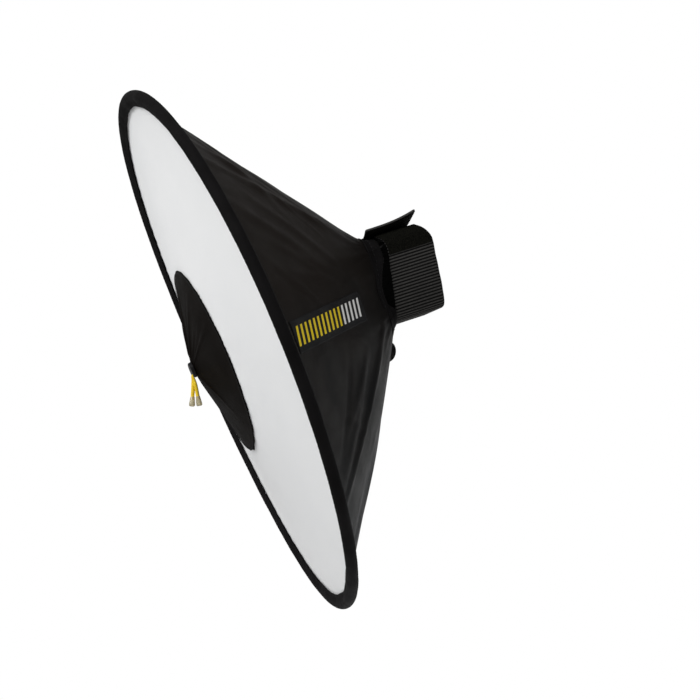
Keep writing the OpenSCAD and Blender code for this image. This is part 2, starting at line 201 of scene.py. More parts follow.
def unit(v):
    return v / np.maximum(np.linalg.norm(v, axis=-1, keepdims=True), 1e-12)


def add(name, data):
    obj = bpy.data.objects.new(name, data)
    bpy.context.scene.collection.objects.link(obj)
    return obj


def link(name, mesh):
    """A smooth object in the scene from a mesh."""
    mesh.polygons.foreach_set("use_smooth", np.ones(len(mesh.polygons), bool))
    mesh.update()
    return add(name, mesh)


def make(name, pts, closed_u=False, closed_v=False, uv=None, flip=False):
    """A smooth mesh from a grid of points, with UVs in metres along the cloth."""
    nu, nv = pts.shape[:2]
    mu, mv = (nu if closed_u else nu - 1), (nv if closed_v else nv - 1)
    i, j = np.meshgrid(np.arange(mu), np.arange(mv), indexing="ij")
    i2, j2 = (i + 1) % nu, (j + 1) % nv
    quads = np.stack([i * nv + j, i2 * nv + j, i2 * nv + j2, i * nv + j2], -1).reshape(-1, 4)
    corner_u = np.stack([i, i + 1, i + 1, i], -1).reshape(-1, 4)
    corner_v = np.stack([j, j, j + 1, j + 1], -1).reshape(-1, 4)
    if flip:
        quads, corner_u, corner_v = quads[:, ::-1], corner_u[:, ::-1], corner_v[:, ::-1]
    mesh = bpy.data.meshes.new(name)
    mesh.from_pydata(pts.reshape(-1, 3).tolist(), [], quads.tolist())
    if uv is None:
        step_u = np.linalg.norm(pts[1:] - pts[:-1], axis=-1).mean()
        step_v = np.linalg.norm(pts[:, 1:] - pts[:, :-1], axis=-1).mean()
        coords = np.stack([corner_u * step_u, corner_v * step_v], -1)
    else:
        coords = uv[corner_u % uv.shape[0], corner_v % uv.shape[1]]
    layer = mesh.uv_layers.new(name="UVMap")
    layer.data.foreach_set("uv", coords.reshape(-1).astype(np.float32))
    return link(name, mesh)


def thicken(obj, thickness, offset=-1.0):
    mod = obj.modifiers.new("thickness", "SOLIDIFY")
    mod.thickness = thickness
    mod.offset = offset
    return obj


def dress(obj, material, body, *nodes, slot=None):
    """Gives a piece its material and the body it rides on, and hides the CAD nodes it stands for.
    The slot argument is not used."""
    obj.data.materials.clear()
    obj.data.materials.append(material)
    slot or material.name.split(".")[0]
    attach(obj, body)
    if nodes:
        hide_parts(*nodes)


def face(obj, direction):
    """Turns a sheet so that its first face looks along a direction."""
    if np.dot(np.array(obj.data.polygons[0].normal), direction) < 0:
        obj.data.flip_normals()


def lengths(line):
    """Distance along a line at each of its points."""
    return np.concatenate([[0], np.cumsum(np.linalg.norm(np.diff(line, axis=0), axis=1))])


def spots_on(line, where):
    """Points of a line at the given distances along it."""
    reach = lengths(line)
    return np.stack([np.interp(where, reach, column) for column in line.T], -1)


def disc_uv(rr, aa):
    """UVs of a round cloth in metres, with the first column again at the end."""
    uv = np.stack([rr * np.cos(aa), rr * np.sin(aa)], -1)
    return np.concatenate([uv, uv[:1]])


def grid_normals(pts):
    """Normals of a grid that is closed round its columns."""
    around = (np.roll(pts, -1, 0) - np.roll(pts, 1, 0)) / 2
    return unit(np.cross(around, np.gradient(pts, axis=1)))


def tube(name, path, radius, sides=12, closed=False, reference=(0, 0, 1)):
    """Round tube along a path, with closed ends when the path is open."""
    path = np.asarray(path, float)
    if closed:
        tangent = unit(np.roll(path, -1, 0) - np.roll(path, 1, 0))
    else:
        tangent = unit(np.gradient(path, axis=0))
    side = unit(np.cross(tangent, np.array(reference, float)))
    lift = np.cross(side, tangent)
    angle = circle(sides)
    radius = np.broadcast_to(radius, (len(path), sides))
    ring = path[:, None] + radius[..., None] * (
        np.cos(angle)[None, :, None] * side[:, None] + np.sin(angle)[None, :, None] * lift[:, None])
    obj = make(name, ring, closed_u=closed, closed_v=True)
    if not closed:
        cap_ends(obj)
    return obj


def cap_ends(obj):
    bm = bmesh.new()
    bm.from_mesh(obj.data)
    bmesh.ops.holes_fill(bm, edges=[e for e in bm.edges if e.is_boundary], sides=0)
    bmesh.ops.recalc_face_normals(bm, faces=bm.faces)
    bm.to_mesh(obj.data)
    bm.free()


def stitches(name, points, along, normal, length, radius=0.22 * MM, arch=0.35 * MM):
    """One short arched thread at each point, half sunk into the cloth at both ends."""
    rings, sides = 6, 5
    t = np.linspace(-1, 1, rings)
    a = circle(sides)
    along, normal = unit(along), unit(normal)
    side = np.cross(along, normal)
    fat = radius * np.sqrt(np.clip(1.02 - t ** 2, 0.05, 1))
    centre = (points[:, None] + along[:, None] * (t * length / 2)[None, :, None]
              + normal[:, None] * (arch * (1 - 1.6 * t ** 2))[None, :, None])
    pts = (centre[:, :, None] + side[:, None, None] * (fat[:, None] * np.cos(a))[None, :, :, None]
           + normal[:, None, None] * (fat[:, None] * np.sin(a))[None, :, :, None])
    n = len(points)
    base = (np.arange(n) * rings * sides)[:, None, None, None]
    i, j = np.meshgrid(np.arange(rings - 1), np.arange(sides), indexing="ij")
    j2 = (j + 1) % sides
    quad = np.stack([i * sides + j, i * sides + j2, (i + 1) * sides + j2, (i + 1) * sides + j], -1)
    faces = (base + quad[None]).reshape(-1, 4).tolist()
    first = np.arange(sides)[::-1]
    last = np.arange(sides) + (rings - 1) * sides
    faces += (base[:, 0, 0] + first[None]).tolist() + (base[:, 0, 0] + last[None]).tolist()
    mesh = bpy.data.meshes.new(name)
    mesh.from_pydata(pts.reshape(-1, 3).tolist(), [], faces)
    return link(name, mesh)


# ---- materials

class Nodes:
    """Short names for the shader nodes that the materials share."""

    def __init__(self, name):
        self.material = bpy.data.materials.new(name)
        self.material.use_nodes = True
        self.tree = self.material.node_tree
        self.tree.nodes.clear()
        self.bsdf = self.node("ShaderNodeBsdfPrincipled")
        self.node("ShaderNodeOutputMaterial", {"Surface": self.bsdf.outputs[0]})
        coords = self.node("ShaderNodeTexCoord")
        self.uv = coords.outputs["UV"]
        self.place = coords.outputs["Object"]

    def node(self, kind, sockets=None, **settings):
        """A new node with these settings, and with values or links in its sockets."""
        node = self.tree.nodes.new(kind)
        for key, value in settings.items():
            setattr(node, key, value)
        for key, value in (sockets or {}).items():
            self.feed(node.inputs[key], value)
        return node

    def feed(self, socket, value):
        if isinstance(value, bpy.types.NodeSocket):
            self.tree.links.new(value, socket)
        elif socket.type == "RGBA" and len(value) == 3:
            socket.default_value = (*value, 1)
        else:
            socket.default_value = value

    def math(self, operation, a, b=0.0):
        return self.node("ShaderNodeMath", {0: a, 1: b}, operation=operation).outputs[0]

    def plus(self, a, b):
        return self.math("ADD", a, b)

    def times(self, a, b):
        return self.math("MULTIPLY", a, b)

    def wave(self, value, pitch):
        """0 to 1 and back with each pitch."""
        return self.math("ABSOLUTE", self.math("SINE", self.times(value, math.pi / pitch)))

    def noise(self, scale, vector=None, detail=4.0):
        sockets = {"Vector": vector or self.place, "Scale": scale, "Detail": detail, "Roughness": 0.55}
        return self.node("ShaderNodeTexNoise", sockets).outputs[0]

    def stretch(self, vector, scale):
        return self.node("ShaderNodeVectorMath", {0: vector, 1: scale}, operation="MULTIPLY").outputs[0]

    def shade(self, colour, factor):
        """A colour made darker or lighter by a factor."""
        sockets = {0: colour, "Scale": factor}
        return self.node("ShaderNodeVectorMath", sockets, operation="SCALE").outputs[0]

    def mix(self, factor, a, b):
        return self.node("ShaderNodeMix", {"Factor": factor, 6: a, 7: b}, data_type="RGBA").outputs[2]

    def span(self, value, low=0.0, high=1.0, start=0.3, end=0.7):
        """Maps start..end to low..high."""
        sockets = {0: value, 1: start, 2: end, 3: low, 4: high}
        return self.node("ShaderNodeMapRange", sockets).outputs[0]

    def blotches(self, scale, a, b):
        """Soft patches of two colours."""
        return self.mix(self.span(self.noise(scale)), a, b)

    def split(self, vector):
        return self.node("ShaderNodeSeparateXYZ", {0: vector}).outputs

    def weave(self, pitch, twill=False):
        """Height of a plain weave or a twill, 0 to 1, with threads a pitch apart."""
        x, y, _ = self.split(self.stretch(self.uv, (1 / pitch, 1 / pitch, 1)))
        cells = self.plus(self.math("FLOOR", x), self.math("FLOOR", y))
        count = 3.0 if twill else 2.0
        over = self.math("LESS_THAN", self.math("MODULO", self.math("ABSOLUTE", cells), count), 0.5)
        under = self.math("SUBTRACT", 1.0, over)
        return self.plus(self.times(self.wave(x, 1), over), self.times(self.wave(y, 1), under))

    def bump(self, height, distance):
        sockets = {"Height": height, "Distance": distance, "Strength": 1.0}
        self.feed(self.bsdf.inputs["Normal"], self.node("ShaderNodeBump", sockets).outputs[0])

    def set(self, **values):
        for key, value in values.items():
            self.feed(self.bsdf.inputs[key.replace("_", " ")], value)


def cloth(name, dark, light, pitch, rough, sheen, bump, twill=False, patch=14.0, specular=0.5,
          ior=1.18, drift=None):
    """Woven cloth: threads, blotches of slightly different colour, and uneven sheen.
    With a drift, the colour also changes slowly in that direction."""
    n = Nodes(name)
    blotch = n.noise(patch)
    if drift:
        x, y, z = n.split(n.stretch(n.place, drift))
        slow = n.plus(n.plus(x, y), n.plus(z, 0.5))
        blotch = n.plus(n.times(blotch, 0.5), n.times(slow, 0.5))
    grain = n.noise(900.0, detail=2.0)
    threads = n.weave(pitch, twill)
    tone = n.mix(n.span(blotch), dark, light)
    factor = n.times(n.span(threads, 0.78, 1.06, 0.0, 1.0), n.span(grain, 0.9, 1.1))
    n.set(Base_Color=n.shade(tone, factor), Roughness=n.span(n.noise(40.0), *rough),
          Sheen_Weight=sheen, Sheen_Roughness=0.45, Specular_IOR_Level=specular, IOR=ior)
    n.bump(n.plus(threads, n.times(grain, 0.5)), bump)
    return n.material


def ribbed(name, valley, ridge, pitch):
    """Elastic: painted shade in the valleys, a painted highlight on the raised ribs that is stronger in
    some patches, and fine cross threads.
    """
    n = Nodes(name)
    x, y, _ = n.split(n.uv)
    cross = n.wave(y, pitch)
    fuzz = n.noise(700.0, detail=3.0)
    # noise that makes the painted highlight on the ribs stronger in some patches than in others
    uneven_rib_highlight = n.span(n.noise(30.0), 0.75, 1.15)
    # painted light: the valley colour is painted shade between the ribs, the ridge colour a painted
    # highlight on their tops
    tone = n.mix(n.times(n.span(n.wave(x, RIB_PITCH), 0.0, 1.0, 0.42, 1.0), uneven_rib_highlight), valley, ridge)
    factor = n.times(n.span(cross, 0.75, 1.1, 0.0, 1.0), n.span(fuzz, 0.8, 1.2))
    n.set(Base_Color=n.shade(tone, factor), Roughness=n.span(n.noise(60.0), 0.6, 0.85),
          Specular_IOR_Level=0.5, IOR=1.15)
    n.bump(n.plus(cross, fuzz), 0.0001)
    return n.material


def pile(name, dark, light):
    """Hook or loop tape: a dense field of tiny loops."""
    n = Nodes(name)
    cells = n.node("ShaderNodeTexVoronoi", {"Vector": n.place, "Scale": 1300.0}, feature="F1")
    loops = cells.outputs["Distance"]
    fuzz = n.noise(1600.0, detail=3.0)
    n.set(Base_Color=n.mix(n.span(loops, 0.0, 1.0, 0.1, 0.6), light, dark),
          Roughness=n.span(fuzz, 0.75, 0.98), Specular_IOR_Level=0.5, IOR=1.12)
    n.bump(n.plus(loops, fuzz), 0.0004)
    return n.material


def metal(name, colour, rough, brushed=(1.0, 1.0, 1.0)):
    """Metal with brush marks that are stretched along one axis."""
    n = Nodes(name)
    lines = n.noise(400.0, n.stretch(n.place, brushed), detail=3.0)
    tone = n.blotches(60.0, [c * 0.82 for c in colour], colour)
    n.set(Base_Color=tone, Metallic=1.0, Roughness=n.span(lines, *rough))
    n.bump(lines, 0.00004)
    return n.material


def plastic(name, dark, light, rough, grain, depth, specular=0.5):
    """Moulded plastic or rubber with a fine grain."""
    n = Nodes(name)
    texture = n.noise(grain)
    n.set(Base_Color=n.blotches(25.0, dark, light), Roughness=n.span(texture, *rough),
          Specular_IOR_Level=specular)
    n.bump(texture, depth)
    return n.material


def clear(name, colour):
    """Clear plastic with a slight tint."""
    n = Nodes(name)
    n.set(Base_Color=n.blotches(90.0, [c * 0.8 for c in colour], colour),
          Roughness=n.span(n.noise(200.0), 0.08, 0.25), Transmission_Weight=0.6, IOR=1.49,
          Specular_IOR_Level=0.6)
    n.bump(n.noise(500.0), 0.00003)
    return n.material


def thread(name, dark, light):
    """Twisted sewing thread or cord."""
    n = Nodes(name)
    twirl = n.noise(1500.0, detail=2.0)
    n.set(Base_Color=n.mix(n.span(twirl), dark, light), Roughness=n.span(twirl, 0.45, 0.7),
          Specular_IOR_Level=0.4, IOR=1.3)
    n.bump(twirl, 0.00008)
    return n.material


def white_satin(name):
    """Thin white front cloth, which lets some light through."""
    n = Nodes(name)
    threads = n.weave(0.5 * MM)
    tone = n.blotches(7.0, (0.85, 0.862, 0.87), (0.89, 0.897, 0.9))
    n.set(Base_Color=n.shade(tone, n.span(threads, 0.93, 1.02, 0.0, 1.0)),
          Roughness=n.span(n.noise(30.0), 0.5, 0.68), Sheen_Weight=0.25, Specular_IOR_Level=0.3,
          Subsurface_Weight=0.15, Subsurface_Scale=0.002, Subsurface_Radius=(1.0, 1.0, 1.0))
    n.bump(n.plus(threads, n.noise(500.0)), 0.00005)
    return n.material


def label_weave(name, length, height):
    """Woven label: a black ground with plain slanted bars, yellow and then white."""
    n = Nodes(name)
    u, v, _ = n.split(n.uv)
    threads = n.weave(0.45 * MM, twill=True)
    margin, pitch = 0.08 * length, 0.0593 * length
    half_row, white_bars = 8 * pitch, 5 * pitch
    start = n.math("SUBTRACT", n.plus(u, n.times(v, 0.35)), margin)

    def within(value, centre, reach):
        return n.math("LESS_THAN", n.math("ABSOLUTE", n.math("SUBTRACT", value, centre)), reach)
    bar = n.math("LESS_THAN", n.math("FRACT", n.math("DIVIDE", start, pitch)), 0.45)
    row = n.times(within(v, height / 2, 0.3 * height), within(start, half_row, half_row))
    mark = n.times(bar, row)
    colour = n.mix(n.math("GREATER_THAN", start, white_bars), (0.8, 0.8, 0.78), (0.83, 0.62, 0.02))
    ground = n.blotches(50.0, (0.004, 0.004, 0.0045), (0.01, 0.01, 0.011))
    tone = n.shade(n.mix(mark, ground, colour), n.span(threads, 0.7, 1.05, 0.0, 1.0))
    n.set(Base_Color=tone, Roughness=n.span(n.noise(60.0), 0.45, 0.6), IOR=1.18)
    n.bump(n.plus(threads, n.times(mark, 1.5)), 0.0001)
    return n.material


SATIN = cloth("shell_satin", (0.0036, 0.0048, 0.0056), (0.0092, 0.0064, 0.0048), 0.6 * MM,
              (0.34, 0.46), 0.0, 0.00006, patch=9.0, ior=1.115, drift=(0.5, -2.0, 3.4))
SILVER = cloth("silver_lining", (0.62, 0.63, 0.65), (0.74, 0.75, 0.77), 0.6 * MM,
               (0.25, 0.4), 0.1, 0.00008, specular=0.35, ior=1.5)
WHITE = white_satin("white_front")
NOSE = cloth("nose_cloth", (0.0042, 0.0032, 0.0026), (0.0068, 0.0054, 0.0045), 0.6 * MM,
             (0.4, 0.55), 0.0, 0.00008, ior=1.08)
TAPE_CLOTH = cloth("binding_tape", (0.0035, 0.0031, 0.0032), (0.0068, 0.0062, 0.0066), 0.9 * MM,
                   (0.5, 0.7), 0.0, 0.00014, twill=True, patch=30.0, ior=1.12)
# the near-black is painted shade in the valleys of the ribs, the grey a painted highlight on their tops
ELASTIC = ribbed("ribbed_elastic", (0.001, 0.001, 0.001), (0.05, 0.048, 0.046), 0.55 * MM)
PILE = pile("hook_and_loop", (0.002, 0.002, 0.0015), (0.0095, 0.0092, 0.0065))
WEBBING = cloth("webbing", (0.007, 0.006, 0.006), (0.018, 0.016, 0.015), 1.1 * MM,
                (0.55, 0.75), 0.01, 0.0002, patch=60.0, ior=1.25)
CORD = thread("yellow_cord", (0.55, 0.36, 0.01), (0.9, 0.66, 0.04))
BLACK_THREAD = thread("black_thread", (0.006, 0.006, 0.0065), (0.018, 0.018, 0.019))
STEEL = metal("spring_steel", (0.55, 0.56, 0.58), (0.25, 0.42), (1, 30, 30))
BRASS = metal("ferrule_brass", (0.72, 0.55, 0.25), (0.25, 0.4))
PLATED = metal("plated_metal", (0.72, 0.72, 0.74), (0.08, 0.22))
BLACKED = metal("blacked_metal", (0.02, 0.02, 0.021), (0.3, 0.5))
FRAME_PLASTIC = plastic("frame_plastic", (0.014, 0.014, 0.015), (0.026, 0.026, 0.028),
                        (0.5, 0.68), 900.0, 0.0001)
CAP_PLASTIC = plastic("cap_plastic", (0.004, 0.004, 0.0045), (0.008, 0.008, 0.009),
                      (0.3, 0.45), 300.0, 0.00003, 0.2)
CLEAR = clear("clear_plastic", (0.85, 0.76, 0.5))
RUBBER = plastic("grip_rubber", (0.02, 0.02, 0.021), (0.04, 0.04, 0.042),
                 (0.7, 0.9), 1200.0, 0.0002, 0.3)


# ---- rim

def rim_profile():
    """Section of the rim's tape, from its front edge over the hoop to its rear edge: (out, forward)."""
    along = np.array([-math.cos(SHELL_SLOPE), -math.sin(SHELL_SLOPE)])
    back = np.array([math.sin(SHELL_SLOPE), -math.cos(SHELL_SLOPE)])
    turn = np.linspace(math.pi / 2, SHELL_SLOPE - math.pi / 2, 14)
    fold = np.array([HOOP_R, 0]) + (POCKET_R + TAPE) * np.stack([np.cos(turn), np.sin(turn)], -1)
    front = np.array([PANEL_R + 1 * MM, CLOTH / 2 + 0.1 * MM + TAPE])
    rear = np.array([SHELL_R, SHELL_Z]) + 9 * MM * along + (0.9 * MM + TAPE) * back
    steps = np.linspace(0, 1, 8)[:-1, None]
    ahead = front + (fold[0] - front) * steps
    behind = fold[-1] + (rear - fold[-1]) * steps[1:]
    return np.concatenate([ahead, fold, behind, [rear]]), along, back


def rim_binding():
    """Tape folded over the hoop, sewn down on the front and on the cone, slightly puckered."""
    profile, along, back = rim_profile()
    a = circle(1200)
    place = np.linspace(0, 1, len(profile))
    gathers = round(2 * math.pi * HOOP_R / (4.4 * MM))
    pucker = 0.16 * MM * np.sin(gathers * a) + 0.25 * MM * waves(a, 7, 3, 20, 90)
    wander = 0.55 * MM * waves(a, 6, 5, 8, 40)
    edge = bell(place - 0.1, 0.09) + bell(place - 0.9, 0.09)
    ends = bell(place, 0.12) + bell(1 - place, 0.12)
    r = profile[None, :, 0] + wander[:, None] * ends[None]
    z = profile[None, :, 1] + pucker[:, None] * (0.3 + edge[None]) * np.sign(0.5 - place)[None]
    obj = thicken(make("rim_tape", polar(r, a[:, None], z), closed_u=True, flip=True), TAPE * 0.85)
    dress(obj, TAPE_CLOTH, "dish", "rim_binding")
    b = circle(int(2 * math.pi * HOOP_R / (3.4 * MM)))
    outward = np.cos(b)[:, None] * ACROSS + np.sin(b)[:, None] * UP
    inset = 1.8 * MM
    front = profile[0] + [inset, 0.05 * MM]
    rear = profile[-1] - along * inset
    rim_stitches("rim_stitch_front", front, b, np.tile(FORWARD, (len(b), 1)))
    rim_stitches("rim_stitch_back", rear, b, back[0] * outward + back[1] * FORWARD)


def rim_stitches(name, spot, a, normal):
    r, z = np.full(len(a), spot[0]), np.full(len(a), spot[1])
    centre = polar(r, a, z)
    sewn = stitches(name, centre, polar(r, a + 0.001, z) - centre, normal, 2.5 * MM)
    dress(sewn, BLACK_THREAD, "dish", slot="binding_tape")


def spring_hoop():
    """Flat-coiled steel wire, with a crimped sleeve over its joint at the bottom."""
    path = polar(np.full(360, HOOP_R), circle(360), np.zeros(360))
    obj = tube("spring_hoop", path, WIRE_R, 12, closed=True, reference=FORWARD)
    dress(obj, STEEL, "dish", "rim_hoop")
    reach = math.radians(4)
    arc = np.linspace(-reach, reach, 24) - math.pi / 2
    path = polar(np.full(24, HOOP_R), arc, np.zeros(24))
    crimp = 1 - 0.14 * np.abs(np.sin(np.linspace(0, 3 * math.pi, 24)))[:, None] ** 4
    sleeve = tube("hoop_sleeve", path, 2.85 * MM * crimp, 20, reference=FORWARD)
    dress(sleeve, BRASS, "dish", "hoop_ferrule")


# ---- front

def front_cloth():
    """White front: pulled into a tent by the hub, with light pulls from the nose and the rim."""
    a = circle(540)
    start = NOSE_R - 6 * MM
    r = start + (HOOP_R - POCKET_R - 1.1 * MM - start) * np.linspace(0, 1, 90)
    rr, aa = np.meshgrid(r, a)
    t = (r - r[0]) / (r[-1] - r[0])
    pulls = 0.22 * MM * waves(aa, 9, 21, 6, 40) * np.exp(-t / 0.18)[None]
    hem = 0.3 * MM * waves(aa, 12, 22, 60, 160) * np.exp(-(1 - t) / 0.05)[None]
    sag = -0.9 * MM * (np.sin(math.pi * t) ** 2)[None] * (0.6 + 0.4 * np.cos(2 * (aa - 1.2)))
    pts = polar(rr, aa, tent(rr) + pulls + hem + sag)
    obj = make("front_cloth", pts, closed_u=True, uv=disc_uv(rr, aa), flip=True)
    dress(thicken(obj, 0.5 * MM), WHITE, "dish", "front_diffuser")


def nose_cloth():
    """Black centre panel with a scalloped, overlocked edge and creases that run to the nose."""
    lobes = 109
    a = circle(10 * lobes)
    r = HUB_R + (NOSE_R - HUB_R) * np.linspace(0, 1, 64) ** 1.3
    rr, aa = np.meshgrid(r, a)
    t = (rr - r[0]) / (r[-1] - r[0])
    rr = rr + (0.6 + 0.35 * waves(aa, 7, 35, 9, 40)) * MM * np.cos(lobes * aa) * t ** 30
    rr = rr + 0.55 * MM * waves(aa, 8, 34, 5, 34) * t ** 6
    creases = np.zeros_like(rr)
    rng = np.random.RandomState(31)
    for _ in range(16):
        at, width = rng.uniform(0, 2 * math.pi), rng.uniform(0.035, 0.1)
        turn = np.angle(np.exp(1j * (aa - at - 0.25 * rng.uniform(-1, 1) * t)))
        reach = rng.uniform(0.35, 0.8)
        height = rng.uniform(0.5, 1.2) * MM
        creases += height * bell(turn, width) * bell(t - 0.15, reach)
    hem = 0.25 * MM * bell(1 - t, 0.04) * (1 + 0.5 * np.cos(lobes * aa))
    z = tent(rr) + 0.95 * MM + creases * ramp(t * 8) + hem
    obj = make("nose_cloth", polar(rr, aa, z), closed_u=True, uv=disc_uv(rr, aa), flip=True)
    dress(thicken(obj, 0.7 * MM), NOSE, "dish", "nose_panel")
    overlock(2 * lobes)


def overlock(count):
    """Slanted stitches over the edge of the centre panel."""
    a = circle(count)
    edge = np.full(count, NOSE_R - 1.0 * MM)
    lift = 1.35 * MM
    centre = polar(edge, a, tent(edge) + lift)
    out = polar(edge + MM, a + 0.012, tent(edge + MM) + lift) - centre
    sewn = stitches("nose_overlock", centre, out, np.tile(FORWARD, (count, 1)), 2.8 * MM)
    dress(sewn, BLACK_THREAD, "dish", slot="nose_cloth")


def reflector():
    """Silver disc behind the centre panel, slightly dished between the hub and its seam."""
    a = circle(240)
    r = HUB_R + (NOSE_R - 3 * MM - HUB_R) * np.linspace(0, 1, 50) ** 1.3
    rr, aa = np.meshgrid(r, a)
    t = (rr - r[0]) / (r[-1] - r[0])
    z = tent(rr) - 0.6 * MM - 0.3 * MM * t * (1 - t) * 4 + 0.2 * MM * waves(aa, 8, 41, 5, 20) * t * (1 - t)
    obj = make("reflector", polar(rr, aa, z), closed_u=True, flip=True)
    dress(thicken(obj, 0.5 * MM), SILVER, "dish", "deflector")


# ---- cone

def outline_steps():
    """(corner number, angle, share of the way along the flat side after it) round the mouth."""
    steps = []
    for q in range(4):
        steps += [(q, 90 * q + 90 * f, None) for f in np.linspace(0, 1, CORNER_STEPS + 1)]
        steps += [(q, 90 * q + 90, g) for g in np.linspace(0, 1, FLAT_STEPS + 2)[1:-1]]
    return steps


def mouth_outline():
    """Closed outline of the mouth: across and up."""
    half = np.array([MOUTH_W / 2 - MOUTH_CORNER, MOUTH_H / 2 - MOUTH_CORNER])
    pts = []
    for q, angle, g in outline_steps():
        a = math.radians(angle)

        def corner(k):
            sign = np.array([1 if k % 4 in (0, 3) else -1, 1 if k % 4 in (0, 1) else -1])
            return sign * half + MOUTH_CORNER * np.array([math.cos(a), math.sin(a)])
        here = corner(q)
        pts.append(here if g is None else here + (corner(q + 1) - here) * g)
    pts = np.array(pts)
    return pts[:, 0], pts[:, 1] + MOUTH_Z


def rim_outline_angles():
    """Angles round the rim that belong to the same steps of the mouth's outline."""
    turn = math.atan2((SHELL_R - MOUTH_W / 2) * math.sin(DROOP), np.dot(RIM, FORWARD))
    flat = math.radians(3)

    def at(a, f):
        t = a + flat * (1 - 2 * f)
        return t - turn * math.cos(t)
    angles = []
    for q, angle, g in outline_steps():
        a = math.radians(angle)
        start = at(a, (angle - 90 * q) / 90)
        angles.append(start if g is None else start + (at(a, 0) - start) * g)
    return np.array(angles)


def cuff_end(z):
    """How far back the cuff reaches: its sides are scooped out between the strap's corners."""
    high = CUFF_SCOOP + (CUFF_TOP - CUFF_SCOOP) * ramp((z + 3 * MM) / (20 * MM)) ** 1.2
    return high + (CUFF_BOTTOM - CUFF_SCOOP) * ramp((-z - 18 * MM) / (6 * MM))


def trim_at(z):
    """How much of the cone is cut away where the cuff is scooped deeper than its edge."""
    return np.clip(SHELL_BACK - (cuff_end(z) - 2.2 * MM), 0, None)


def cone_lines():
    """The cone's straight sides: where they start, steps along them, rim ends and rim angles."""
    mx, mz = mouth_outline()
    a = rim_outline_angles()
    mouth = np.stack([mx, np.full_like(mx, SHELL_BACK), mz], -1)
    rim = polar(np.full_like(a, SHELL_R), a, np.full_like(a, SHELL_Z))
    run = (rim - mouth) / -(rim - mouth)[:, 1:2]
    return mouth + run * trim_at(mz)[:, None], run, rim, a


def crease(pts, v, a, start, end, height, width):
    """Ridge or fold along a line between two (angle, share of the way to the rim) places."""
    def spot(place):
        column = np.argmin(np.abs(np.angle(np.exp(1j * (a - math.radians(place[0]))))))
        row = int(round(place[1] * (len(v) - 1)))
        return pts[column, row]
    p, q = spot(start), spot(end)
    line = q - p
    t = ramp(((pts - p) @ line) / (line @ line))
    gap = np.linalg.norm(pts - (p + t[..., None] * line), axis=-1)
    taper = np.sin(math.pi * ramp(t * 0.94 + 0.03)) ** 0.6
    return height * taper * bell(gap, width)


def label_place():
    """Centre of the label's flat, its axes (along, up, outward) and its length and height."""
    corners = points_of("label_patch")
    centre = corners.mean(0)
    axes = np.linalg.svd(corners - centre)[2]
    long = axes[0] if axes[0][1] < 0 else -axes[0]
    high = axes[1] if axes[1][2] > 0 else -axes[1]
    out = np.cross(long, high)
    axes = np.stack([long, high, out if out[0] > 0 else -out])
    return centre, axes, np.ptp((corners - centre) @ axes.T, axis=0)


def under_label(pts):
    """1 where the stiff label holds the skin flat, fading to 0 around it."""
    centre, axes, size = label_place()
    fade = 9 * MM
    reach = np.abs((pts - centre) @ axes.T)
    held = ramp((size / 2 + fade - reach) / fade)
    return held[..., 0] * held[..., 1] * (reach[..., 2] < 30 * MM)


def cone_relief(pts, a, v):
    """Height of the skin's folds: sag, tension ridges at the corners, pulls and soft creases."""
    vv, aa = v[None, :], a[:, None]
    diagonal = np.abs(np.sin(2 * aa))
    above, below = ramp(np.sin(aa)), ramp(-np.sin(aa))
    flats = 1 - 0.75 * diagonal ** 2
    relief = (3.4 * below ** 2 - (0.7 + 1.7 * above) * flats) * MM * np.sin(math.pi * vv ** 0.8)
    relief = relief - (0.3 + 1.2 * above ** 0.5) * MM * bell(vv - 0.1, 0.12)
    relief += 0.45 * MM * waves(aa, 9, 51, 9, 34) * (1 - vv) ** 1.5 * ramp(vv * 12)
    relief += 0.35 * MM * waves(aa, 10, 52, 30, 90) * vv ** 8
    relief = relief + skin_folds(pts, a, v) * (1 - 0.92 * under_label(pts))
    hold = ramp(vv / 0.05) * ramp((1 - vv) / 0.03)
    return relief * hold


def skin_folds(pts, a, v):
    """Pulls from the corners of the mouth, soft creases all round, and more on the label's side."""
    places = [
        ((-42, 1.0), (-16, 0.1), 1.5, 5.0), ((-39, 0.95), (-26, 0.45), 0.8, 6.0),
        ((-31, 0.72), (-20, 0.35), 0.7, 5.0), ((-34, 0.9), (-17, 0.55), -0.6, 6.0),
        ((50, 0.9), (44, 0.5), 0.8, 6.0), ((28, 0.95), (12, 0.5), 0.7, 7.0),
        ((34, 0.8), (8, 0.35), 0.6, 6.0), ((60, 0.98), (30, 0.55), 0.7, 7.0),
        ((138, 1.0), (160, 0.1), 1.3, 5.0), ((222, 1.0), (200, 0.1), 1.2, 5.0),
        ((42, 1.0), (24, 0.08), 0.9, 6.0), ((-60, 0.95), (-84, 0.3), 0.7, 7.0),
        ((100, 0.9), (120, 0.4), 0.7, 7.0), ((-120, 0.97), (-96, 0.2), 0.8, 6.0),
        ((178, 0.9), (150, 0.4), 0.6, 7.0),
    ]
    folds = np.zeros(pts.shape[:2])
    for start, end, height, width in places:
        folds += crease(pts, v, a, start, end, 1.7 * height * MM, 0.8 * width * MM)
    rng = np.random.RandomState(53)
    all_round = ((-180, 180), (0.1, 0.5), (0.55, 0.98), (-22, 22), (-0.65, 0.65), (2.5, 7))
    label_side = ((-60, 75), (0.25, 0.6), (0.75, 0.98), (8, 26), (0.35, 0.8), (2.2, 4))
    for count, spans in ((26, all_round), (16, label_side)):
        for _ in range(count):
            at, near, far, drift, height, width = [rng.uniform(*span) for span in spans]
            folds += crease(pts, v, a, (at, near), (at + drift, far), height * MM, width * MM)
    return folds


def squash_cone(obj):
    """Gives the piece its own copy of its mesh."""
    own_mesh(obj)


